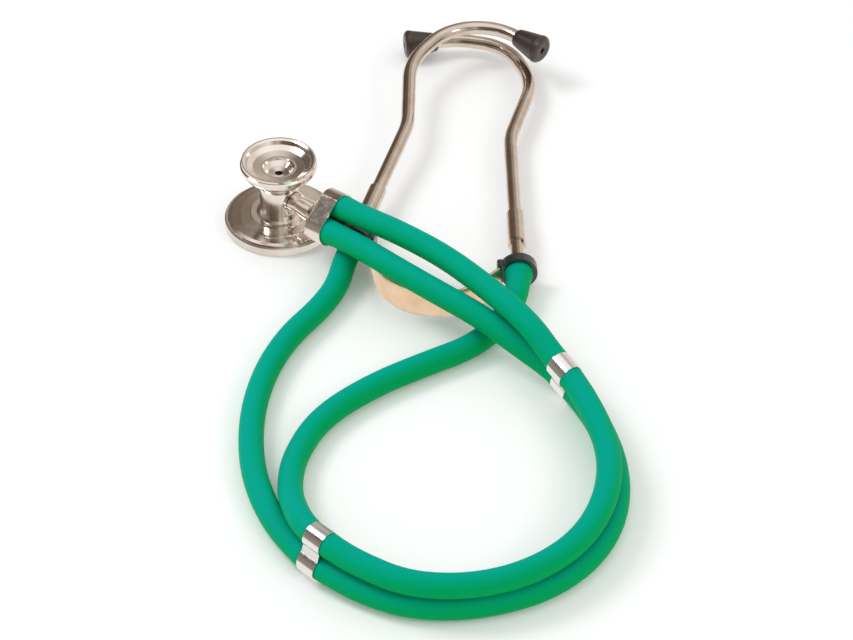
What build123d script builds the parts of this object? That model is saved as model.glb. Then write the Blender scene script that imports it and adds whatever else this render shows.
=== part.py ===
from build123d import *
import os
from math import acos, atan2, cos, pi, radians, sin, sqrt, tan

# Twin-hose stethoscope, laid on a table with its ear tubes crossed. Millimetres, +Z up.
# Origin: the centre of the diaphragm's face, on the table. +Y runs from the chestpiece
# towards the ear tips, +X towards the right-hand ear tube.

# --- chestpiece head, turned about the vertical axis through the origin ---
RING_R = 22.3            # diaphragm retaining ring, outside
RING_H = 3.7
RING_LIP_R = 19.6        # inside of the lip that holds the diaphragm's rim
DIAPHRAGM_T = 0.6
HOUSING_R = 21.0
HOUSING_TOP_Z = 6.0
NECK_R = 7.9
NECK_TOP_Z = 22.0
BELL_TOP_Z = 31.5
BELL_LIP_R = 15.4
BELL_HOLE_R = 1.5
AIR_R = 1.0              # air passages in the neck

# --- stem: the spindle that the head turns on, horizontal ---
STEM_Z = 15.0
STEM_TURN = -44.2        # plan direction of the stem, degrees from +X
SPINDLE_R = 3.2
SPINDLE_BORE_R = 3.25
SPINDLE_TAIL_R = 2.6
SPINDLE_IN = -5.0        # inner end of the spindle, along the stem from the head's axis
BOSS_END = 8.4
BLOCK_FROM = 12.6        # the block slips over the spindle's outer end
BLOCK_NECK_END = 19.5
CIRCLIP_AT = 5.4
DETENT_AT = -2.9
DETENT_R = 0.9

# --- hoses ---
HOSE_R = 4.8
HOSE_BORE_R = 2.4
SOCKET_FLARE_R = 5.1     # hose end inside the twin socket
TUBE_FLARE_R = 5.7       # hose end pushed over an ear tube
SOCKET_DEPTH = 8.0
SOCKET_WALL = 0.55
NIPPLE_R = 2.35
NIPPLE_BORE_R = 1.5

# Routes by hand. Each starts at the floor of the twin socket and ends in an ear tube's collar.
# The left hose is the lower one of the pair round the loop, the right hose the upper one.
LEFT_ROUTE = [
    (15.0, -21.0, 14.8), (29.2, -34.8, 17.75), (46.0, -52.0, 18.9), (62.5, -66.9, 18.9),
    (80.0, -80.3, 17.4), (95.0, -91.3, 12.0), (108.6, -101.1, 7.6), (116.6, -113.0, 5.4),
    (124.4, -129.5, 4.8), (129.2, -149.5, 4.8), (129.7, -168.5, 4.8), (125.9, -186.5, 4.8),
    (117.3, -202.5, 4.8), (104.3, -215.2, 4.8), (88.3, -223.0, 4.8), (70.5, -226.9, 4.8),
    (53.0, -225.9, 4.8), (37.5, -219.3, 4.9), (23.7, -209.6, 5.45), (13.7, -199.2, 5.35),
    (4.2, -183.8, 4.8), (-2.6, -166.5, 4.8), (-6.5, -147.0, 4.8), (-7.0, -123.0, 4.8),
    (-3.0, -99.0, 4.8), (5.4, -77.5, 4.8), (17.6, -60.0, 4.8), (24.0, -46.5, 5.0),
    (26.66, -33.15, 6.73), (30.83, -19.36, 7.71),
]
RIGHT_ROUTE = [
    (20.5, -14.0, 21.2), (34.7, -27.8, 24.15), (49.5, -38.0, 24.2), (67.0, -52.6, 24.0),
    (84.0, -73.0, 24.2), (98.0, -90.6, 22.9), (107.4, -104.7, 17.4), (115.1, -116.0, 14.6),
    (121.2, -132.5, 14.5), (126.2, -151.5, 14.5), (126.3, -169.0, 14.5), (122.3, -186.5, 14.5),
    (114.0, -202.5, 14.5), (101.0, -215.3, 14.5), (85.0, -223.5, 14.5), (67.5, -226.4, 14.5),
    (50.5, -223.9, 14.5), (35.5, -214.9, 14.5), (26.05, -207.4, 14.8), (16.05, -197.0, 14.9),
    (11.1, -184.7, 13.3), (8.4, -166.9, 7.0), (9.6, -147.0, 4.8), (19.0, -124.5, 4.8),
    (38.5, -106.2, 4.8), (59.0, -93.4, 4.8), (76.8, -83.4, 4.8), (88.0, -69.5, 5.0),
    (95.57, -52.27, 7.6), (95.29, -39.32, 7.5),
]

# --- clips that hold the two hoses together ---
CLIP_W = 8.5
CLIP_IN_R = 4.83
CLIP_T = 0.4
CLIP_WAIST = 3.9         # half width at the waist between the hoses, outside
# each clip lies midway along one run of both routes: (run's first point in the left route, right route)
CLIPS = {"upper_clip": (6, 6), "lower_clip": (18, 18)}

# --- headset, drawn in its own plan frame ---
HEADSET_AT = (62.6, -22.0)
HEADSET_TURN = -7.5      # degrees
HALF_SPACING = {"left": 31.6, "right": 32.7}     # ear tube axis from the centre line, at the reference line
CONVERGE = {"left": 9.3, "right": 8.7}           # degrees that each lower tube leans inwards
AXIS_Z = {"left": 7.82, "right": 7.42}
PITCH = {"left": 3.9, "right": -0.45}
SLIDE = {"left": -3.5, "right": 0.0}    # bends of each tube, along its axis
TUBE_LOW = {"left": -10.5, "right": -22.0}
COLLAR_AT = {"left": -4.5, "right": -16.0}
SLEEVE_AT = {"left": 8.0, "right": 2.0}
SLEEVE_L = 20.0
SLEEVE_R = 3.65
SLEEVE_NOTCH = 5.0       # height of the pointed arch cut in the sleeve's lower edge, top and bottom
COLLAR_R = 7.4
COLLAR_L = 4.0
TUBE_R = 2.85
TUBE_BORE_R = 2.1
# one ear tube's bends: distance along its lower axis, distance inwards, bend radius
TUBE_BENDS = [(73.0, 0.0, 40.0), (112.0, -11.0, 34.0), (138.0, -1.5, 23.0), (143.5, 19.0, 25.0)]
TUBE_END = {"left": (136.9, 33.4), "right": (141.4, 34.4)}
TIP_L = 14.2
TIP_THIN_R = 3.75
TIP_WIDE_R = 6.15
TIP_FROM_END = 6.0       # how far the ear tube runs into its tip

# --- leaf spring: a U of flat steel standing on edge ---
LEAF_R = 24.2            # centre of the strip round the bow
LEAF_CENTRE = (62.9, -35.2)
LEAF_T = 1.0
LEAF_W = 11.6
LEAF_LOW_Z = 0.6
LEAF_TONGUE_W = 6.0      # narrowed end that fits the slot in the collar's lug
LEAF_SLOT = 7.2          # centre of the slot, inwards from the ear tube's axis
LUG_OUT = 8.6


def stem_plane(s):
    """Plane across the stem at distance s from the head's axis; its z points along the stem."""
    turn = radians(STEM_TURN)
    along = Vector(cos(turn), sin(turn), 0)
    return Plane(origin=Vector(0, 0, STEM_Z) + along * s, x_dir=(0, 0, 1), z_dir=along)


def rod(plane, length, radius):
    return plane * extrude(Circle(radius), length)


def revolved(points):
    """Solid of revolution about Z from a closed outline of (radius, height) points."""
    outline = make_face(Polyline(*[(r, 0, z) for r, z in points], close=True))
    return revolve(outline, Axis.Z)


# --- chestpiece head ---

def make_diaphragm_ring():
    top = RING_H
    section = [(RING_LIP_R, 0), (RING_R - 0.5, 0), (RING_R, 0.5), (RING_R, top - 0.4), (RING_R - 0.4, top),
               (HOUSING_R + 0.05, top), (HOUSING_R + 0.05, DIAPHRAGM_T), (RING_LIP_R, DIAPHRAGM_T)]
    return revolved(section)


def make_diaphragm():
    rim_low = DIAPHRAGM_T
    step = [(0, 0), (RING_LIP_R - 0.05, 0), (RING_LIP_R - 0.05, rim_low), (HOUSING_R - 0.2, rim_low),
            (HOUSING_R - 0.2, rim_low + 0.5), (0, rim_low + 0.5)]
    return revolved(step)


def make_diaphragm_housing():
    floor = DIAPHRAGM_T + 0.5
    spigot = 5.0
    section = [(spigot, 3.6), (16.0, 2.6), (HOUSING_R - 2.0, floor + 0.8), (HOUSING_R - 2.0, floor),
               (HOUSING_R, floor), (HOUSING_R, RING_H + 0.4), (19.6, 4.5), (16.2, 4.9), (15.9, 5.3),
               (12.0, 5.6), (11.7, HOUSING_TOP_Z), (spigot, HOUSING_TOP_Z)]
    return revolved(section)


def make_chestpiece_body():
    # waisted neck with a spigot into the housing and a socket for the bell
    section = [(0, 3.6), (4.95, 3.6), (4.95, HOUSING_TOP_Z), (9.4, HOUSING_TOP_Z), (8.6, 6.8), (NECK_R, 8.4),
               (NECK_R, 19.6), (8.6, 21.2), (8.8, NECK_TOP_Z), (4.55, NECK_TOP_Z), (4.55, 18.9), (0, 18.9)]
    body = revolved(section)
    body += rod(stem_plane(5.2), BOSS_END - 5.2, 4.5)
    body -= rod(stem_plane(SPINDLE_IN - 0.3), 20, SPINDLE_BORE_R)
    body -= rod(stem_plane(CIRCLIP_AT - 0.1), 1.0, 4.05)
    body -= Pos(0, 0, 3) * Cylinder(AIR_R, 20, align=(Align.CENTER, Align.CENTER, Align.MIN))
    detent = stem_plane(DETENT_AT)
    hole = Plane(origin=(detent.origin.X, detent.origin.Y, STEM_Z), z_dir=(0, 0, -1))
    body -= hole * extrude(Circle(DETENT_R + 0.05), 7.6)
    return body


def make_bell():
    rim = BELL_LIP_R
    section = [(BELL_HOLE_R, 18.95), (4.5, 18.95), (4.5, NECK_TOP_Z), (8.8, NECK_TOP_Z), (11.6, 24.2),
               (14.4, 26.6), (rim - 0.3, 27.6), (rim, 28.2), (rim, 29.8), (rim - 0.7, 30.3), (rim - 0.4, 30.7),
               (rim - 0.5, BELL_TOP_Z), (14.2, BELL_TOP_Z), (13.4, 31.0), (12.6, 29.6), (10.4, 28.4), (7.2, 27.9),
               (6.4, 27.9), (6.0, 26.8), (4.2, 25.4), (BELL_HOLE_R, 24.9)]
    return revolved(section)


def make_circlip():
    ring = rod(stem_plane(CIRCLIP_AT), 0.8, 3.95) - rod(stem_plane(CIRCLIP_AT - 1), 3, 2.72)
    return ring - stem_plane(CIRCLIP_AT) * Pos(-4, 0, 0) * Box(6, 1.6, 4)


def detent_centre():
    at = stem_plane(DETENT_AT).origin
    return Vector(at.X, at.Y, STEM_Z - SPINDLE_R - 0.45)


def make_detent_ball():
    return Pos(*detent_centre()) * Sphere(DETENT_R)


def make_detent_spring():
    """Small coil under the ball, modelled as stacked rings joined by a core tube."""
    c = detent_centre()
    height = c.Z - DETENT_R - 7.5
    wire = 0.16
    tube = Cylinder(0.75, height, align=(Align.CENTER, Align.CENTER, Align.MIN))
    tube -= Cylinder(0.75 - 2 * wire, height, align=(Align.CENTER, Align.CENTER, Align.MIN))
    turns = 3
    for k in range(turns):
        groove = Torus(0.78, 0.12)
        tube -= Pos(0, 0, height * (k + 0.5) / turns) * groove
    return Pos(c.X, c.Y, 7.5) * tube


# --- stem and twin socket ---

def make_valve_spindle():
    spindle = rod(stem_plane(SPINDLE_IN), BLOCK_FROM - SPINDLE_IN, SPINDLE_R)
    spindle += rod(stem_plane(BLOCK_FROM - 1), 4.4, SPINDLE_TAIL_R)
    spindle += rod(stem_plane(BOSS_END + 0.3), 1.9, 4.2)
    spindle -= rod(stem_plane(-1.2), 20, 1.3)
    port = Plane(origin=(0, 0, STEM_Z), z_dir=(0, 0, 1))
    spindle -= port * extrude(Circle(AIR_R), 6)
    spindle -= rod(stem_plane(CIRCLIP_AT - 0.1), 1.0, 4) - rod(stem_plane(CIRCLIP_AT - 2), 5, 2.65)
    spindle -= rod(stem_plane(2.3), 1.0, 4) - rod(stem_plane(1), 4, 2.3)
    # the ball runs in a groove; two deeper dimples lie under it at the bell and diaphragm positions
    c = detent_centre()
    from_axis = STEM_Z - c.Z
    spindle -= stem_plane(DETENT_AT) * Torus(from_axis, DETENT_R + 0.04)
    for way in (-1, 1):
        spindle -= Pos(c.X, c.Y, STEM_Z + way * (from_axis - 0.25)) * Sphere(DETENT_R - 0.1)
    return spindle


def make_spindle_seal():
    return stem_plane(2.8) * Torus(2.77, 0.45)


def socket_plane(along=0.0):
    """Plane on the floor of the twin socket, its x from the left hose's axis to the right one's."""
    left, right = Vector(*LEFT_ROUTE[0]), Vector(*RIGHT_ROUTE[0])
    direction = (Vector(*LEFT_ROUTE[1]) - left).normalized()
    across = right - left
    across = (across - direction * across.dot(direction)).normalized()
    return Plane(origin=(left + right) * 0.5 + direction * along, x_dir=across, z_dir=direction)


def hose_spacing():
    return (Vector(*RIGHT_ROUTE[0]) - Vector(*LEFT_ROUTE[0])).length


def racetrack(radius):
    return SlotCenterToCenter(hose_spacing(), 2 * radius)


def make_y_block():
    inner = SOCKET_FLARE_R + 0.1
    outer = inner + SOCKET_WALL
    end = BLOCK_NECK_END
    block = loft([stem_plane(BLOCK_FROM + 0.1) * Circle(3.9), stem_plane(end) * Circle(4.7)])
    block += loft([stem_plane(end) * Circle(4.7), socket_plane(-0.9) * racetrack(outer - 0.7)])
    shell = socket_plane(-0.9) * extrude(racetrack(outer), SOCKET_DEPTH + 0.9)
    back = [e for e in shell.edges() if abs(socket_plane(-0.9).to_local_coords(e.center()).Z) < 0.01]
    block += fillet(back, 0.6)
    block -= socket_plane(-0.02) * extrude(racetrack(inner), SOCKET_DEPTH + 1)
    block -= rod(stem_plane(BLOCK_FROM), 3.6, SPINDLE_TAIL_R + 0.02)
    block -= rod(stem_plane(BLOCK_FROM), 7.0, AIR_R + 0.4)
    fork = stem_plane(BLOCK_FROM + 6.0).origin
    for route in (LEFT_ROUTE, RIGHT_ROUTE):
        seat = Vector(*route[0]) - socket_plane().z_dir * 0.9
        block -= Plane(origin=seat, z_dir=socket_plane().z_dir) * extrude(Circle(NIPPLE_R + 0.02), 4)
        way = seat - fork
        block -= Plane(origin=fork, z_dir=way) * extrude(Circle(AIR_R), way.length)
    return block


def make_nipple(route):
    direction = socket_plane().z_dir
    base = Plane(origin=Vector(*route[0]) - direction * 0.9, z_dir=direction)
    length = 0.9 + SOCKET_DEPTH + 2.0
    nipple = base * extrude(Circle(NIPPLE_R), length)
    return nipple - base * extrude(Circle(NIPPLE_BORE_R), length)


# --- hoses ---

def corner_radii(route):
    """Largest arc that each corner's two runs allow."""
    points = [Vector(*p) for p in route]
    radii = []
    for before, at, after in zip(points, points[1:], points[2:]):
        run = min((at - before).length, (after - at).length)
        turn = (at - before).get_angle(after - at)
        radii.append(0.45 * run / tan(radians(turn / 2)))
    return radii


def end_plane(route, last):
    if last:
        return Plane(origin=route[-1], z_dir=Vector(*route[-2]) - Vector(*route[-1]))
    return Plane(origin=route[0], z_dir=Vector(*route[1]) - Vector(*route[0]))


def flare(plane, radius, straight, taper):
    """Thickened hose end: straight for one length, then a taper that dies into the hose."""
    section = [(0, 0), (radius, 0), (radius, straight), (HOSE_R - 0.15, straight + taper), (0, straight + taper)]
    return plane * revolved(section)


def make_hose(name, route, tube_inside):
    path = FilletPolyline(*route, radius=corner_radii(route))
    start = Plane(origin=route[0], z_dir=path.tangent_at(0))
    hose = sweep(start * Circle(HOSE_R), path=path)
    hose += flare(end_plane(route, False), SOCKET_FLARE_R, SOCKET_DEPTH, 7.0)
    hose += flare(end_plane(route, True), TUBE_FLARE_R, 4.0, 4.0)
    hose -= sweep(start * Circle(HOSE_BORE_R), path=path)
    hose -= end_plane(route, True) * extrude(Circle(TUBE_R + 0.05), tube_inside)
    length = path.length
    section = pi * (HOSE_R ** 2 - HOSE_BORE_R ** 2)
    print(name, "length", round(length, 1), "volume over section times length",
          round(hose.volume / (section * length), 3))
    print(name, "radii", [round(r) for r in corner_radii(route)])
    return hose


def make_clip(name):
    first_left, first_right = CLIPS[name]
    low = (Vector(*LEFT_ROUTE[first_left]) + Vector(*LEFT_ROUTE[first_left + 1])) * 0.5
    high = (Vector(*RIGHT_ROUTE[first_right]) + Vector(*RIGHT_ROUTE[first_right + 1])) * 0.5
    along = (Vector(*LEFT_ROUTE[first_left + 1]) - Vector(*LEFT_ROUTE[first_left])).normalized()
    across = high - low
    across = across - along * across.dot(along)
    half = across.length / 2
    plane = Plane(origin=(low + high) * 0.5 - along * (CLIP_W / 2), x_dir=across, z_dir=along)
    outer_r = CLIP_IN_R + CLIP_T
    outline = Pos(-half, 0) * Circle(outer_r) + Pos(half, 0) * Circle(outer_r)
    outline += Rectangle(2 * half, 2 * CLIP_WAIST)
    hollow = Pos(-half, 0) * Circle(CLIP_IN_R) + Pos(half, 0) * Circle(CLIP_IN_R)
    hollow += Rectangle(2 * half, 2 * (CLIP_WAIST - CLIP_T))
    return plane * extrude(outline - hollow, CLIP_W)


# --- headset ---

def headset_point(x, y, z=0.0):
    turn = radians(HEADSET_TURN)
    return Vector(HEADSET_AT[0] + x * cos(turn) - y * sin(turn),
                  HEADSET_AT[1] + x * sin(turn) + y * cos(turn), z)


def tube_plane(side):
    """The ear tube's own plane: x up its lower axis, y inwards."""
    hand = 1 if side == "right" else -1
    lean = radians(90 + HEADSET_TURN + hand * CONVERGE[side])
    pitch = radians(PITCH[side])
    up = Vector(cos(lean) * cos(pitch), sin(lean) * cos(pitch), sin(pitch))
    flat = Vector(up.X, up.Y, 0).normalized()
    normal = Vector(-flat.X * sin(pitch), -flat.Y * sin(pitch), cos(pitch)) * hand
    origin = headset_point(hand * HALF_SPACING[side], 0, AXIS_Z[side])
    return Plane(origin=origin, x_dir=up, z_dir=normal)


def tube_point(side, along, inwards=0.0):
    return tube_plane(side).from_local_coords(Vector(along, inwards, 0))


def axis_plane(side, along):
    """Plane across the lower tube, its z pointing up the tube."""
    plane = tube_plane(side)
    return Plane(origin=tube_point(side, along), x_dir=plane.z_dir, z_dir=plane.x_dir)


def tip_plane(side):
    """Plane across the ear tube's upper end, its z pointing out of the tube."""
    last = TUBE_BENDS[-1]
    start = tube_point(side, last[0] + SLIDE[side], last[1])
    end = tube_point(side, TUBE_END[side][0] + SLIDE[side], TUBE_END[side][1])
    return Plane(origin=end, x_dir=tube_plane(side).z_dir, z_dir=end - start)


def make_ear_tube(side):
    points = [tube_point(side, TUBE_LOW[side])]
    points += [tube_point(side, a + SLIDE[side], v) for a, v, r in TUBE_BENDS]
    points += [tube_point(side, TUBE_END[side][0] + SLIDE[side], TUBE_END[side][1])]
    path = FilletPolyline(*points, radius=[r for a, v, r in TUBE_BENDS])
    start = axis_plane(side, TUBE_LOW[side])
    print(side, "ear tube length", round(path.length, 1))
    return sweep(start * Circle(TUBE_R), path=path) - sweep(start * Circle(TUBE_BORE_R), path=path)


def make_sleeve(side):
    """Sleeve swaged on the lower tube, with a pointed arch cut in its lower edge."""
    plane = axis_plane(side, SLEEVE_AT[side])
    sleeve = plane * extrude(Circle(SLEEVE_R), SLEEVE_L)
    sleeve = fillet(sleeve.edges().group_by(Axis(plane.origin, plane.z_dir))[-1], 0.5)
    sleeve -= plane * extrude(Circle(TUBE_R + 0.02), SLEEVE_L)
    up = tube_plane(side).z_dir
    half = 2.6
    arch = make_face(Polyline((-half, -1), (half, -1), (half * 0.9, 1.5), (0, SLEEVE_NOTCH), (-half * 0.9, 1.5),
                              close=True))
    face = Plane(origin=plane.origin, x_dir=up.cross(plane.z_dir), z_dir=plane.z_dir.cross(up.cross(plane.z_dir)))
    return sleeve - face * extrude(arch, SLEEVE_R + 1, both=True)


def make_collar(side):
    """Flange round the hose's mouth: a web on the tube, a skirt over the hose and a lug for the spring."""
    plane = axis_plane(side, COLLAR_AT[side])
    collar = plane * extrude(Circle(COLLAR_R), COLLAR_L)
    inwards = tube_plane(side).y_dir
    lug_plane = Plane(origin=plane.origin, x_dir=inwards, z_dir=plane.z_dir)
    lug = Pos(LUG_OUT - 1.5, 0, COLLAR_L / 2) * Box(3.0, LEAF_TONGUE_W + 2.4, COLLAR_L)
    collar += lug_plane * fillet(lug.edges().filter_by(Axis.Z), 1.2)
    collar -= plane * extrude(Circle(TUBE_FLARE_R + 0.1), COLLAR_L - 1.0)
    collar -= plane * extrude(Circle(TUBE_R + 0.02), COLLAR_L)
    slot = Box(LEAF_T + 0.1, LEAF_TONGUE_W + 0.5, COLLAR_L)
    lift = leaf_mid_z() - (plane.origin + plane.z_dir * (COLLAR_L / 2)).Z
    lift = lift if lug_plane.y_dir.Z > 0 else -lift
    return collar - lug_plane * Pos(LEAF_SLOT, lift, COLLAR_L / 2) * slot


def leaf_mid_z():
    return LEAF_LOW_Z + LEAF_W / 2


def make_ear_tip(side):
    plane = tip_plane(side).offset(-TIP_FROM_END)
    wide, thin, length = TIP_WIDE_R, TIP_THIN_R, TIP_L
    section = [(1.15, 0.6), (thin - 0.5, 0), (thin, 0.5), (thin + 0.5, 2.4), (wide - 0.35, length - 3.6),
               (wide, length - 2.4), (wide - 0.15, length - 1.3), (wide - 1.0, length - 0.4),
               (wide - 2.2, length), (1.5, length), (1.15, length - 0.35)]
    tip = revolved(section)
    insert = Cylinder(TUBE_R + 0.75, TIP_FROM_END + 0.5, align=(Align.CENTER, Align.CENTER, Align.MIN))
    mouth = Cylinder(TUBE_R + 0.03, TIP_FROM_END + 0.5, align=(Align.CENTER, Align.CENTER, Align.MIN))
    return plane * (tip - Pos(0, 0, 1.2) * insert - Pos(0, 0, -0.3) * mouth)


def make_tip_insert(side):
    """Threaded metal bush inside the ear tip, screwed on the tube's end."""
    plane = tip_plane(side).offset(-TIP_FROM_END + 1.25)
    outer = extrude(Circle(TUBE_R + 0.7), TIP_FROM_END - 0.9)
    return plane * (outer - extrude(Circle(TUBE_R + 0.03), TIP_FROM_END))


def leaf_anchor(side, along):
    """Plan point in the middle of the collar's slot, at a distance along the ear tube."""
    p = tube_point(side, along, LEAF_SLOT)
    return (p.X, p.Y)


def tangent_point(outer, side):
    """Where a straight run from an outer plan point meets the bow."""
    dx, dy = outer[0] - LEAF_CENTRE[0], outer[1] - LEAF_CENTRE[1]
    away = sqrt(dx * dx + dy * dy)
    turn = acos(LEAF_R / away) * (-1 if side == "right" else 1)
    angle = atan2(dy, dx) + turn
    return (LEAF_CENTRE[0] + LEAF_R * cos(angle), LEAF_CENTRE[1] + LEAF_R * sin(angle))


def make_leaf_spring():
    """U of flat strip on edge; each arm ends in a tongue held by a collar's lug."""
    low = {side: leaf_anchor(side, COLLAR_AT[side] - 1.2) for side in ("left", "right")}
    top = {side: leaf_anchor(side, COLLAR_AT[side] + COLLAR_L) for side in ("left", "right")}
    meet = {side: tangent_point(low[side], side) for side in ("left", "right")}
    bottom = (LEAF_CENTRE[0], LEAF_CENTRE[1] - LEAF_R)
    arms = {side: Line(meet[side], low[side]) for side in ("left", "right")}
    bow = ThreePointArc(meet["left"], bottom, meet["right"])
    strip = strip_face([arms["left"], bow, arms["right"]])
    spring = Pos(0, 0, LEAF_LOW_Z) * extrude(strip, LEAF_W)
    for side in ("left", "right"):
        tongue = strip_face([Line(low[side], top[side])])
        z = leaf_mid_z() - LEAF_TONGUE_W / 2
        spring += Pos(0, 0, z) * extrude(tongue, LEAF_TONGUE_W)
        spring += Pos(low[side][0], low[side][1], z) * extrude(Circle(LEAF_T / 2), LEAF_TONGUE_W)
    return spring


def strip_face(lines):
    """Face of the strip's thickness along plan lines."""
    wire = Wire([edge for line in lines for edge in line.edges()])
    faces = [sweep(square_at(edge), path=edge) for edge in wire.edges()]
    face = faces[0]
    for other in faces[1:]:
        face += other
    return face


def square_at(edge):
    """Line across the strip at an edge's start."""
    start = edge @ 0
    across = (edge % 0).cross(Vector(0, 0, 1)) * (LEAF_T / 2)
    return Line(start - across, start + across)


def build():
    parts = {
        "chestpiece_body": make_chestpiece_body(),
        "bell": make_bell(),
        "diaphragm_housing": make_diaphragm_housing(),
        "diaphragm_ring": make_diaphragm_ring(),
        "diaphragm": make_diaphragm(),
        "spindle_circlip": make_circlip(),
        "detent_ball": make_detent_ball(),
        "detent_spring": make_detent_spring(),
        "valve_spindle": make_valve_spindle(),
        "spindle_seal": make_spindle_seal(),
        "y_block": make_y_block(),
        "left_hose_nipple": make_nipple(LEFT_ROUTE),
        "right_hose_nipple": make_nipple(RIGHT_ROUTE),
        "left_hose": make_hose("left_hose", LEFT_ROUTE, 9.2),
        "right_hose": make_hose("right_hose", RIGHT_ROUTE, 9.5),
        "leaf_spring": make_leaf_spring(),
    }
    for name in CLIPS:
        parts[name] = make_clip(name)
    for side in ("left", "right"):
        parts[side + "_tube_sleeve"] = make_sleeve(side)
        parts[side + "_ear_tube"] = make_ear_tube(side)
        parts[side + "_hose_collar"] = make_collar(side)
        parts[side + "_ear_tip"] = make_ear_tip(side)
        parts[side + "_tip_insert"] = make_tip_insert(side)
    return parts


os.makedirs("parts", exist_ok=True)
for node, shape in build().items():
    export_step(shape, "parts/" + node + ".step")
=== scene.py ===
"""Looks of the twin-hose stethoscope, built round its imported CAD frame.

Blender works in metres. Routes and section sizes are written in millimetres and scaled by MM.
"""
import math

import bmesh
import bpy
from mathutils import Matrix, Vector


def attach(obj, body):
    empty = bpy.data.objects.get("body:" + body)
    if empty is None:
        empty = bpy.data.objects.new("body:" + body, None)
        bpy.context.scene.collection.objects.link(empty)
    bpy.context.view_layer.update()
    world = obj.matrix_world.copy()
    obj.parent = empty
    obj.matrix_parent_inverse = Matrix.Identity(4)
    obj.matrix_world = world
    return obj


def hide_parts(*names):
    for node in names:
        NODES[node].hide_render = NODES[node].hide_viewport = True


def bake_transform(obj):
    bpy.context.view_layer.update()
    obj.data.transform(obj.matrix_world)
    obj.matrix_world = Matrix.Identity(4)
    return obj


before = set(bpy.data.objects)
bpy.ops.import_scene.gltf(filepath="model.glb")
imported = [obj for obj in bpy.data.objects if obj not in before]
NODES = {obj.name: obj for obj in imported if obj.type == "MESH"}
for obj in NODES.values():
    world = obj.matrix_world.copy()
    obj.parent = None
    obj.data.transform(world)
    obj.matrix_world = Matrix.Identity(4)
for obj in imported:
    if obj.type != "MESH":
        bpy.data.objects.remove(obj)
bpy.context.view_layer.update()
SCENE = bpy.context.scene
MM = 0.001

# --- camera -------------------------------------------------------------------
CAMERA_AT = (0.059, -1.170, 0.930)
CAMERA_TILT = 50.0          # degrees up from looking straight down
CAMERA_LENS = 156.15        # mm, on a sensor SENSOR_WIDTH wide
SENSOR_WIDTH = 36.0


def make_camera():
    data = bpy.data.cameras.new("camera")
    data.lens = CAMERA_LENS
    data.sensor_width = SENSOR_WIDTH
    data.sensor_fit = "HORIZONTAL"
    data.clip_start = 0.05
    data.clip_end = 20.0
    camera = bpy.data.objects.new("camera", data)
    camera.location = CAMERA_AT
    camera.rotation_euler = (math.radians(CAMERA_TILT), 0.0, 0.0)
    SCENE.collection.objects.link(camera)
    SCENE.camera = camera


make_camera()

# --- shader node helpers --------------------------------------------------------


def new_material(name):
    """A material with an empty Principled shader: the material, its node tree and the shader."""
    material = bpy.data.materials.new(name)
    material.use_nodes = True
    tree = material.node_tree
    tree.nodes.clear()
    out = tree.nodes.new("ShaderNodeOutputMaterial")
    bsdf = tree.nodes.new("ShaderNodeBsdfPrincipled")
    tree.links.new(bsdf.outputs["BSDF"], out.inputs["Surface"])
    return material, tree, bsdf


def coordinates(tree, scale=(1, 1, 1)):
    """Object coordinates, stretched by a scale."""
    source = tree.nodes.new("ShaderNodeTexCoord")
    mapping = tree.nodes.new("ShaderNodeMapping")
    mapping.inputs["Scale"].default_value = scale
    tree.links.new(source.outputs["Object"], mapping.inputs["Vector"])
    return mapping.outputs["Vector"]


def noise(tree, vector, scale, detail=4.0, rough=0.55):
    node = tree.nodes.new("ShaderNodeTexNoise")
    node.inputs["Scale"].default_value = scale
    node.inputs["Detail"].default_value = detail
    node.inputs["Roughness"].default_value = rough
    tree.links.new(vector, node.inputs["Vector"])
    return node.outputs["Fac"]


def rings(tree, vector, scale):
    """Concentric lathe marks round Z."""
    wave = tree.nodes.new("ShaderNodeTexWave")
    wave.wave_type = "RINGS"
    wave.rings_direction = "Z"
    wave.inputs["Scale"].default_value = scale
    wave.inputs["Distortion"].default_value = 0.6
    wave.inputs["Detail"].default_value = 2.0
    wave.inputs["Detail Scale"].default_value = 1.5
    tree.links.new(vector, wave.inputs["Vector"])
    return wave.outputs["Fac"]


def ramp(tree, value, stops):
    """Colour ramp with (position, colour) stops."""
    node = tree.nodes.new("ShaderNodeValToRGB")
    elements = node.color_ramp.elements
    while len(elements) < len(stops):
        elements.new(0.5)
    for element, (at, colour) in zip(elements, stops):
        element.position = at
        element.color = (*colour, 1.0)
    tree.links.new(value, node.inputs["Fac"])
    return node.outputs["Color"]


def spread(tree, value, low, high, from_low=0.3, from_high=0.7, smoothed=False):
    """Maps from_low-from_high on to low-high, held at the ends."""
    node = tree.nodes.new("ShaderNodeMapRange")
    if smoothed:
        node.interpolation_type = "SMOOTHSTEP"
    node.inputs["From Min"].default_value = from_low
    node.inputs["From Max"].default_value = from_high
    node.inputs["To Min"].default_value = low
    node.inputs["To Max"].default_value = high
    tree.links.new(value, node.inputs["Value"])
    return node.outputs["Result"]


def plus(tree, a, b, weight):
    """a + weight * b"""
    node = tree.nodes.new("ShaderNodeMath")
    node.operation = "MULTIPLY_ADD"
    tree.links.new(b, node.inputs[0])
    node.inputs[1].default_value = weight
    tree.links.new(a, node.inputs[2])
    return node.outputs[0]


def mix_colour(tree, factor, colour_from, colour_to):
    """Blends a linked colour into a fixed one."""
    node = tree.nodes.new("ShaderNodeMix")
    node.data_type = "RGBA"
    input_a, input_b, result = 6, 7, 2      # this node's RGBA sockets
    tree.links.new(factor, node.inputs["Factor"])
    tree.links.new(colour_from, node.inputs[input_a])
    node.inputs[input_b].default_value = (*colour_to, 1.0)
    return node.outputs[result]


def bump(tree, bsdf, height, strength, distance):
    node = tree.nodes.new("ShaderNodeBump")
    node.inputs["Strength"].default_value = strength
    node.inputs["Distance"].default_value = distance
    tree.links.new(height, node.inputs["Height"])
    tree.links.new(node.outputs["Normal"], bsdf.inputs["Normal"])


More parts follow.
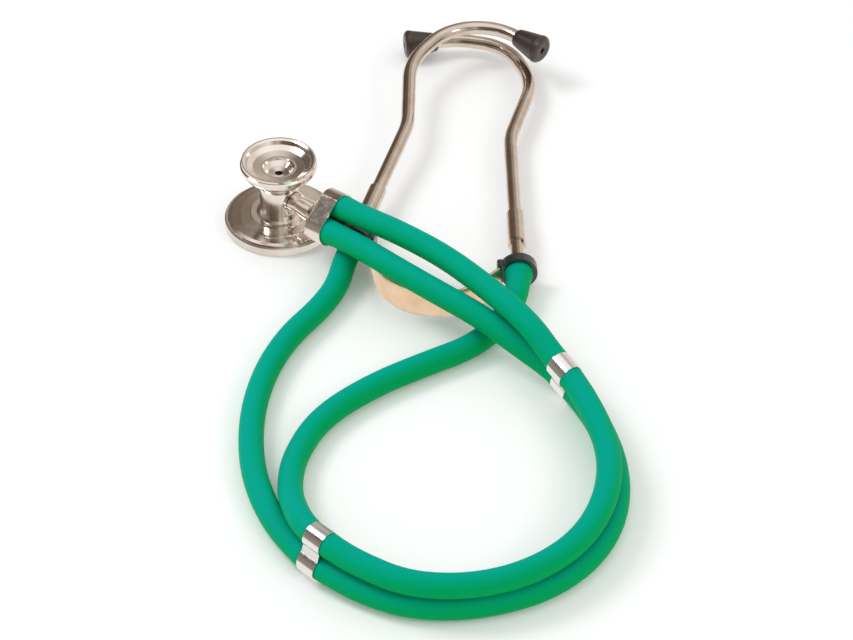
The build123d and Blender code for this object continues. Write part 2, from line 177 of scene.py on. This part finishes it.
# --- materials ------------------------------------------------------------------
METAL_RELIEF = 0.04 * MM
PLASTIC_RELIEF = 0.06 * MM
HOSE_RELIEF = 0.1 * MM


def metal(name, tint, deep, rough, marks, strength):
    """Plated metal: cloudy tint, smudged gloss, and turning, drawing or rolling marks."""
    material, tree, bsdf = new_material(name)
    at = coordinates(tree)
    cloud = ramp(tree, noise(tree, at, 90.0, 5.0), [(0.30, deep), (0.62, tint)])
    tree.links.new(cloud, bsdf.inputs["Base Color"])
    bsdf.inputs["Metallic"].default_value = 1.0
    smudge = spread(tree, noise(tree, at, 320.0, 6.0, 0.65), *rough)
    tree.links.new(smudge, bsdf.inputs["Roughness"])
    if marks == "turned":
        height = plus(tree, noise(tree, at, 2600.0, 3.0), rings(tree, at, 620.0), 0.8)
    elif marks == "drawn":
        height = noise(tree, coordinates(tree, (1.0, 0.06, 1.0)), 2600.0, 3.0)
    elif marks == "rolled":
        height = noise(tree, coordinates(tree, (0.05, 0.05, 1.0)), 2600.0, 3.0)
    else:
        height = noise(tree, at, 2200.0, 3.0)
    bump(tree, bsdf, height, strength, METAL_RELIEF)
    return material


def plastic(name, tint, deep, rough, grain, strength, specular, coat=0.0):
    """Moulded plastic or rubber: cloudy pigment, uneven gloss and a fine moulded grain."""
    material, tree, bsdf = new_material(name)
    at = coordinates(tree)
    cloud = ramp(tree, noise(tree, at, 70.0, 4.0), [(0.32, deep), (0.66, tint)])
    tree.links.new(cloud, bsdf.inputs["Base Color"])
    gloss = spread(tree, noise(tree, at, 420.0, 5.0), *rough)
    tree.links.new(gloss, bsdf.inputs["Roughness"])
    bsdf.inputs["Specular IOR Level"].default_value = specular
    bsdf.inputs["Coat Weight"].default_value = coat
    bsdf.inputs["Coat Roughness"].default_value = 0.12
    bump(tree, bsdf, noise(tree, at, grain, 4.0, 0.6), strength, PLASTIC_RELIEF)
    return material


def hose_material():
    """Soft green PVC, with painted light and shade: bluer where its surface faces up and away, towards the
    light, and greener low and near, in shade.
    """
    # painted light and shade: surfaces facing this side get the lit blue-green, the others the shaded
    # green
    painted_light_side = (-0.42, 0.36, 0.83)
    shaded_to_lit_greens = [(0.05, (0.0, 0.350, 0.100)), (0.45, (0.0, 0.360, 0.150)), (0.92, (0.0, 0.360, 0.255))]
    material, tree, bsdf = new_material("hose_pvc_green")
    at = coordinates(tree)
    source = tree.nodes.new("ShaderNodeTexCoord")
    # painted light and shade: how far the surface faces the lit side sets its green
    facing_painted_light = tree.nodes.new("ShaderNodeVectorMath")
    facing_painted_light.operation = "DOT_PRODUCT"
    facing_painted_light.inputs[1].default_value = painted_light_side
    tree.links.new(source.outputs["Normal"], facing_painted_light.inputs[0])
    # painted light and shade, plus random cloud in the pigment
    painted_light_and_cloud = plus(tree, facing_painted_light.outputs["Value"], noise(tree, at, 38.0, 4.0), 0.35)
    painted_light_tone = spread(tree, painted_light_and_cloud, 0.0, 1.0, -0.15, 1.15)
    tree.links.new(ramp(tree, painted_light_tone, shaded_to_lit_greens), bsdf.inputs["Base Color"])
    gloss = spread(tree, noise(tree, at, 520.0, 5.0, 0.6), 0.42, 0.56)
    tree.links.new(gloss, bsdf.inputs["Roughness"])
    bsdf.inputs["Specular IOR Level"].default_value = 0.02
    bsdf.inputs["Subsurface Weight"].default_value = 0.18
    bsdf.inputs["Subsurface Radius"].default_value = (0.001, 0.004, 0.003)
    bsdf.inputs["Subsurface Scale"].default_value = 0.6
    relief = plus(tree, noise(tree, at, 1400.0, 4.0), noise(tree, at, 160.0, 2.0), 0.5)
    bump(tree, bsdf, relief, 0.10, HOSE_RELIEF)
    return material


MATERIALS = {
    "chrome": metal("chrome_turned", (0.94, 0.89, 0.85), (0.84, 0.77, 0.71), (0.10, 0.20), "turned", 0.08),
    "satin": metal("chrome_satin", (0.84, 0.78, 0.73), (0.76, 0.68, 0.61), (0.16, 0.28), "turned", 0.10),
    "tube": metal("chrome_drawn", (0.74, 0.665, 0.595), (0.60, 0.52, 0.445), (0.09, 0.18), "drawn", 0.05),
    "clip": metal("nickel_clip", (0.93, 0.94, 0.95), (0.84, 0.86, 0.88), (0.10, 0.20), "fine", 0.06),
    "spring": metal("spring_strip", (0.95, 0.74, 0.54), (0.84, 0.60, 0.40), (0.24, 0.38), "rolled", 0.22),
    "steel": metal("bright_steel", (0.72, 0.72, 0.73), (0.60, 0.60, 0.61), (0.12, 0.25), "fine", 0.08),
    "brass": metal("turned_brass", (0.78, 0.62, 0.33), (0.66, 0.50, 0.24), (0.18, 0.30), "fine", 0.10),
    "rubber": plastic("seal_rubber", (0.030, 0.030, 0.031), (0.016, 0.016, 0.017), (0.60, 0.80),
                      grain=900.0, strength=0.3, specular=0.35),
    "film": plastic("diaphragm_film", (0.82, 0.81, 0.76), (0.74, 0.72, 0.66), (0.32, 0.46),
                    grain=1800.0, strength=0.15, specular=0.45),
    "collar": plastic("collar_black", (0.030, 0.044, 0.042), (0.010, 0.015, 0.015), (0.20, 0.34),
                      grain=1500.0, strength=0.08, specular=0.55, coat=0.3),
    "tip": plastic("ear_tip_vinyl", (0.062, 0.038, 0.029), (0.030, 0.018, 0.014), (0.26, 0.38),
                   grain=1300.0, strength=0.12, specular=0.5, coat=0.15),
    "hose": hose_material(),
}
NODES_OF = {
    "chrome": ("chestpiece_body", "bell", "diaphragm_housing", "valve_spindle", "y_block"),
    "satin": ("diaphragm_ring",),
    "tube": ("left_ear_tube", "right_ear_tube", "left_tube_sleeve", "right_tube_sleeve"),
    "clip": ("upper_clip", "lower_clip"),
    "spring": ("leaf_spring",),
    "steel": ("detent_ball", "detent_spring", "spindle_circlip"),
    "brass": ("left_hose_nipple", "right_hose_nipple", "left_tip_insert", "right_tip_insert"),
    "rubber": ("spindle_seal",),
    "film": ("diaphragm",),
    "collar": ("left_hose_collar", "right_hose_collar"),
    "tip": ("left_ear_tip", "right_ear_tip"),
    "hose": ("left_hose", "right_hose"),
}
for key, names in NODES_OF.items():
    for node in names:
        slots = NODES[node].data.materials
        slots.clear()
        slots.append(MATERIALS[key])

# --- mesh helpers -----------------------------------------------------------------


def smooth(a, b, x):
    """0 before a, 1 after b, eased between."""
    x = min(1.0, max(0.0, (x - a) / (b - a)))
    return x * x * (3 - 2 * x)


def skin(bm, loop_a, loop_b):
    """Quads between two closed loops of as many vertices."""
    n = len(loop_a)
    for k in range(n):
        bm.faces.new((loop_a[k], loop_a[(k + 1) % n], loop_b[(k + 1) % n], loop_b[k]))


def add_object(name, bm, material):
    mesh = bpy.data.meshes.new(name)
    bmesh.ops.recalc_face_normals(bm, faces=bm.faces)
    bm.to_mesh(mesh)
    bm.free()
    for face in mesh.polygons:
        face.use_smooth = True
    mesh.materials.append(material)
    obj = bpy.data.objects.new(name, mesh)
    SCENE.collection.objects.link(obj)
    return obj


# --- hoses ------------------------------------------------------------------------
LEFT_ROUTE = [
    (15.0, -21.0, 14.8), (29.2, -34.8, 17.75), (46.0, -52.0, 18.9), (62.5, -66.9, 18.9),
    (80.0, -80.3, 17.4), (95.0, -91.3, 12.0), (108.6, -101.1, 7.6), (116.6, -113.0, 5.4),
    (124.4, -129.5, 4.8), (129.2, -149.5, 4.8), (129.7, -168.5, 4.8), (125.9, -186.5, 4.8),
    (117.3, -202.5, 4.8), (104.3, -215.2, 4.8), (88.3, -223.0, 4.8), (70.5, -226.9, 4.8),
    (53.0, -225.9, 4.8), (37.5, -219.3, 4.9), (23.7, -209.6, 5.45), (13.7, -199.2, 5.35),
    (4.2, -183.8, 4.8), (-2.6, -166.5, 4.8), (-6.5, -147.0, 4.8), (-7.0, -123.0, 4.8),
    (-3.0, -99.0, 4.8), (5.4, -77.5, 4.8), (17.6, -60.0, 4.8), (24.0, -46.5, 5.0),
    (26.66, -33.15, 6.73), (30.83, -19.36, 7.71)]
RIGHT_ROUTE = [
    (20.5, -14.0, 21.2), (34.7, -27.8, 24.15), (49.5, -38.0, 24.2), (67.0, -52.6, 24.0),
    (84.0, -73.0, 24.2), (98.0, -90.6, 22.9), (107.4, -104.7, 17.4), (115.1, -116.0, 14.6),
    (121.2, -132.5, 14.5), (126.2, -151.5, 14.5), (126.3, -169.0, 14.5), (122.3, -186.5, 14.5),
    (114.0, -202.5, 14.5), (101.0, -215.3, 14.5), (85.0, -223.5, 14.5), (67.5, -226.4, 14.5),
    (50.5, -223.9, 14.5), (35.5, -214.9, 14.5), (26.05, -207.4, 14.8), (16.05, -197.0, 14.9),
    (11.1, -184.7, 13.3), (8.4, -166.9, 7.0), (9.6, -147.0, 4.8), (19.0, -124.5, 4.8),
    (38.5, -106.2, 4.8), (59.0, -93.4, 4.8), (76.8, -83.4, 4.8), (88.0, -69.5, 5.0),
    (95.57, -52.27, 7.6), (95.29, -39.32, 7.5)]
CLIP_RUNS = (6, 18)          # a clip sits at the middle of each of these runs, on both hoses
HOSE_R = 4.8 * MM
BORE_SHARE = 0.5             # bore over outside diameter
HOSE_SIDES = 40
NIPPLE_FLARE = 0.30 * MM     # the hose's swelling over its nipple, at the start
COLLAR_FLARE = 0.85 * MM     # and where it is stretched into its collar, at the end
CLIP_SQUEEZE = 0.04 * MM
CLIP_BULGE = 0.10 * MM       # beside each edge of a clip
BEND_STARTS, BEND_ENDS = 150 * MM, 20 * MM      # from the right hose's end


def route_line(name, route):
    """Points of the route's own NURBS line."""
    data = bpy.data.curves.new(name + "_line", "CURVE")
    data.dimensions = "3D"
    data.resolution_u = 16
    spline = data.splines.new("NURBS")
    spline.points.add(len(route) - 1)
    for point, at in zip(spline.points, route):
        point.co = (at[0] * MM, at[1] * MM, at[2] * MM, 1.0)
    spline.order_u = 3
    spline.use_endpoint_u = True
    spline.resolution_u = 16
    obj = bpy.data.objects.new(name + "_line", data)
    SCENE.collection.objects.link(obj)
    bpy.context.view_layer.update()
    mesh = bpy.data.meshes.new_from_object(obj)
    points = [v.co.copy() for v in mesh.vertices]
    bpy.data.objects.remove(obj)
    bpy.data.curves.remove(data)
    bpy.data.meshes.remove(mesh)
    kept = points[:1]
    for point in points[1:]:
        if (point - kept[-1]).length > 0.01 * MM:
            kept.append(point)
    return kept


def frames(points):
    """Two turning-free side directions at each point of a line."""
    last = len(points) - 1
    tangents = [(points[min(i + 1, last)] - points[max(i - 1, 0)]).normalized()
                for i in range(last + 1)]
    side = tangents[0].cross(Vector((0, 0, 1))).normalized()
    out = []
    for tangent in tangents:
        side = (side - tangent * side.dot(tangent)).normalized()
        out.append((side, tangent.cross(side)))
    return out


def hose_radius(s, total, clips):
    """Outside radius at a run s along a hose, with clips at the runs given."""
    radius = HOSE_R
    radius += NIPPLE_FLARE * (1 - smooth(8 * MM, 14 * MM, s))
    radius += COLLAR_FLARE * smooth(total - 8.5 * MM, total - 4 * MM, s)
    for clip in clips:
        off = abs(s - clip)
        radius += CLIP_BULGE * math.exp(-((off - 5.6 * MM) / (1.3 * MM)) ** 2)
        radius -= CLIP_SQUEEZE * (1 - smooth(3.6 * MM, 4.6 * MM, off))
    return radius


def hose_tube(name, route):
    """A hose with its bores: the piece, and the run along its line at each ring of vertices."""
    line = route_line(name, route)
    runs = [0.0]
    for a, b in zip(line, line[1:]):
        runs.append(runs[-1] + (b - a).length)
    total = runs[-1]
    clips = []
    for k in CLIP_RUNS:
        middle = (Vector(route[k]) + Vector(route[k + 1])) * 0.5 * MM
        clips.append(runs[min(range(len(line)), key=lambda i: (line[i] - middle).length)])

    angles = [2 * math.pi * k / HOSE_SIDES for k in range(HOSE_SIDES)]
    bm = bmesh.new()
    loops = []
    for at, s, (u, v) in zip(line, runs, frames(line)):
        radius = hose_radius(s, total, clips)
        loops.append([bm.verts.new(at + (u * math.cos(a) + v * math.sin(a)) * radius) for a in angles])
    for a, b in zip(loops, loops[1:]):
        skin(bm, a, b)
    # wall and bore seen at the hose's mouths
    for loop, at, inner_at in ((loops[0], line[0], line[2]), (loops[-1], line[-1], line[-3])):
        lip = [bm.verts.new(at + (x.co - at) * BORE_SHARE) for x in loop]
        deep = [bm.verts.new(inner_at + (x.co - at) * BORE_SHARE) for x in loop]
        skin(bm, loop, lip)
        skin(bm, lip, deep)
        bm.faces.new(deep)
    obj = add_object(name + "_soft", bm, MATERIALS["hose"])
    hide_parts(name)
    return obj, line, runs


def bend_with_arm(obj, runs):
    """Bakes the hose's placement into its mesh and works out weights along its own run for following the
    headset's arm over its last stretch; the weights are not used.
    """
    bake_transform(obj)
    weights = []
    for s in runs:
        weights += [smooth(runs[-1] - BEND_STARTS, runs[-1] - BEND_ENDS, s)] * HOSE_SIDES
    # then the lip and the bore's end at the first mouth, and those at the last
    weights += [0.0] * (2 * HOSE_SIDES) + [1.0] * (2 * HOSE_SIDES)


left_hose, _, _ = hose_tube("left_hose", LEFT_ROUTE)
right_hose, right_line, right_runs = hose_tube("right_hose", RIGHT_ROUTE)
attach(left_hose, "hoses")

# --- leaf spring --------------------------------------------------------------------
# In millimetres: a strip on edge, with its bow in plan and a narrower tongue in each collar.
LEAF_CENTRE, LEAF_R = (62.9, -35.2), 24.2
LEAF_T, LEAF_W, LEAF_LOW, TONGUE_W = 1.0, 11.6, 0.6, 6.0
LEAF_CHAMFER, LEAF_SOFTEN = 0.28, (0.08, 0.09)
TONGUE_IN = 7.2                                 # the tongue's distance from its ear tube
TONGUE_FROM, TONGUE_TO = -1.2, 3.9              # along the tube, from the collar
ARM = {     # each ear tube's lower end in plan: origin, direction along, direction inwards
    "left": ((31.27, -17.88), (0.2884, 0.9551), (0.9573, -0.289)),
    "right": ((95.02, -26.27), (-0.0209, 0.9997), (-0.9998, -0.0209))}
COLLAR_AT = {"left": -4.5, "right": -16.0}
TONGUE_STEPS, ARM_STEPS, BOW_STEPS = 8, 24, 96


def arm_point(side, along):
    origin, direction, inwards = ARM[side]
    return tuple(origin[k] + direction[k] * along + inwards[k] * TONGUE_IN for k in range(2))


def bow_point(angle):
    return (LEAF_CENTRE[0] + LEAF_R * math.cos(angle), LEAF_CENTRE[1] + LEAF_R * math.sin(angle))


def straight(p, q, n):
    return [(p[0] + (q[0] - p[0]) * k / n, p[1] + (q[1] - p[1]) * k / n) for k in range(n)]


def leaf_plan(low):
    """Plan points up one arm, round the bow and up the other, each with the strip's width there."""
    top = {side: arm_point(side, COLLAR_AT[side] + TONGUE_TO) for side in ARM}
    angle = {}
    for side, sign in (("left", 1), ("right", -1)):
        dx, dy = low[side][0] - LEAF_CENTRE[0], low[side][1] - LEAF_CENTRE[1]
        tangent = math.atan2(dy, dx) + sign * math.acos(LEAF_R / math.hypot(dx, dy))
        angle[side] = tangent % (2 * math.pi)
    first, last = angle["left"], angle["right"]
    if last < first:
        last += 2 * math.pi
    widening = LEAF_W - TONGUE_W

    out = [(p, TONGUE_W) for p in straight(top["left"], low["left"], TONGUE_STEPS)]
    for k, p in enumerate(straight(low["left"], bow_point(first), ARM_STEPS)):
        out.append((p, TONGUE_W + widening * smooth(0.0, 0.09, k / ARM_STEPS)))
    for k in range(BOW_STEPS):
        out.append((bow_point(first + (last - first) * k / BOW_STEPS), LEAF_W))
    for k, p in enumerate(straight(bow_point(last), low["right"], ARM_STEPS)):
        out.append((p, LEAF_W - widening * smooth(0.91, 1.0, k / ARM_STEPS)))
    out += [(p, TONGUE_W) for p in straight(low["right"], top["right"], TONGUE_STEPS)]
    out.append((top["right"], TONGUE_W))
    return out


def leaf_section(width):
    """(across, up) corners of the strip's section, with softened edges."""
    h, w, c = LEAF_T / 2, width / 2, LEAF_CHAMFER
    side_in, edge_in = LEAF_SOFTEN
    return [(h, -w + c), (h, -w * 0.5), (h, 0), (h, w * 0.5), (h, w - c),
            (h - side_in, w - edge_in), (h - c, w), (-h + c, w), (-h + side_in, w - edge_in),
            (-h, w - c), (-h, w * 0.5), (-h, 0), (-h, -w * 0.5), (-h, -w + c),
            (-h + side_in, -w + edge_in), (-h + c, -w), (h - c, -w), (h - side_in, -w + edge_in)]


def leaf_piece():
    low = {side: arm_point(side, COLLAR_AT[side] + TONGUE_FROM) for side in ARM}
    plan = leaf_plan(low)
    middle = LEAF_LOW + LEAF_W / 2
    bm = bmesh.new()
    loops = []
    for i, ((x, y), width) in enumerate(plan):
        a, b = plan[max(i - 1, 0)][0], plan[min(i + 1, len(plan) - 1)][0]
        along = Vector((b[0] - a[0], b[1] - a[1], 0)).normalized()
        across = Vector((-along.y, along.x, 0))
        loops.append([bm.verts.new((Vector((x, y, middle + up)) + across * out) * MM)
                      for out, up in leaf_section(width)])
    for a, b in zip(loops, loops[1:]):
        skin(bm, a, b)
    bm.faces.new(loops[0])
    bm.faces.new(list(reversed(loops[-1])))
    obj = add_object("leaf_spring_strip", bm, MATERIALS["spring"])
    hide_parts("leaf_spring")
    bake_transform(obj)


leaf_piece()
bend_with_arm(right_hose, right_runs)

# --- floor and light ----------------------------------------------------------------
FLOOR_HALF = 4.0
FLOOR_AT = (0.06, 0.0, -0.0004)      # just under the part, so that the two don't flicker
AIM = (0.06, -0.06, 0.0)


def make_floor():
    bm = bmesh.new()
    bmesh.ops.create_grid(bm, x_segments=8, y_segments=8, size=FLOOR_HALF)
    material, tree, bsdf = new_material("pale_floor")
    cloud = noise(tree, coordinates(tree), 3.0, 2.0)
    pale = ramp(tree, cloud, [(0.3, (0.90, 0.90, 0.90)), (0.7, (0.93, 0.93, 0.93))])
    tree.links.new(pale, bsdf.inputs["Base Color"])
    bsdf.inputs["Roughness"].default_value = 0.9
    bsdf.inputs["Specular IOR Level"].default_value = 0.1
    bsdf.inputs["Emission Color"].default_value = (1.0, 1.0, 1.0, 1.0)
    bsdf.inputs["Emission Strength"].default_value = 0.09
    floor = add_object("floor", bm, material)
    floor.location = FLOOR_AT
    floor.visible_glossy = False


def area_light(name, at, size, watts, colour):
    """A square light aimed at the part."""
    data = bpy.data.lights.new(name, "AREA")
    data.shape = "RECTANGLE"
    data.size = data.size_y = size
    data.energy = watts
    data.color = colour
    light = bpy.data.objects.new(name, data)
    light.location = at
    light.rotation_euler = (Vector(AIM) - Vector(at)).to_track_quat("-Z", "Y").to_euler()
    SCENE.collection.objects.link(light)


def make_world():
    """Plain white, but glossy rays see a studio: dark to -X, pale to +X, bright above, pale below."""
    studio = [(0.0, (0.30, 0.25, 0.21)), (0.14, (0.10, 0.072, 0.052)), (0.42, (0.17, 0.125, 0.095)),
              (0.52, (0.56, 0.50, 0.44)), (0.60, (0.36, 0.31, 0.265)), (0.74, (0.86, 0.79, 0.72)),
              (1.0, (0.62, 0.54, 0.47))]
    world = bpy.data.worlds.new("studio")
    SCENE.world = world
    world.use_nodes = True
    tree = world.node_tree
    tree.nodes.clear()
    out = tree.nodes.new("ShaderNodeOutputWorld")
    plain = tree.nodes.new("ShaderNodeBackground")
    plain.inputs["Color"].default_value = (1.0, 1.0, 1.0, 1.0)
    plain.inputs["Strength"].default_value = 0.80
    direction = tree.nodes.new("ShaderNodeTexCoord")
    split = tree.nodes.new("ShaderNodeSeparateXYZ")
    tree.links.new(direction.outputs["Generated"], split.inputs["Vector"])
    east, up = split.outputs["X"], split.outputs["Z"]
    across = ramp(tree, spread(tree, east, 0.0, 1.0, -1.0, 1.0), studio)
    above = spread(tree, up, 0.0, 1.0, 0.70, 0.93, smoothed=True)
    below = spread(tree, up, 0.0, 1.0, -0.05, -0.30, smoothed=True)
    bands = mix_colour(tree, above, across, (1.0, 0.97, 0.94))
    bands = mix_colour(tree, below, bands, (0.92, 0.88, 0.83))
    room = tree.nodes.new("ShaderNodeBackground")
    tree.links.new(bands, room.inputs["Color"])
    room.inputs["Strength"].default_value = 1.0
    path = tree.nodes.new("ShaderNodeLightPath")
    mix = tree.nodes.new("ShaderNodeMixShader")
    tree.links.new(path.outputs["Is Glossy Ray"], mix.inputs["Fac"])
    tree.links.new(plain.outputs["Background"], mix.inputs[1])
    tree.links.new(room.outputs["Background"], mix.inputs[2])
    tree.links.new(mix.outputs["Shader"], out.inputs["Surface"])


make_floor()
area_light("key", (-0.80, 0.22, 1.15), 0.50, 6.0, (0.95, 0.985, 1.0))
area_light("fill", (0.85, -0.70, 0.80), 0.30, 1.5, (1.0, 0.97, 0.88))
make_world()
SCENE.view_settings.view_transform = "Standard"
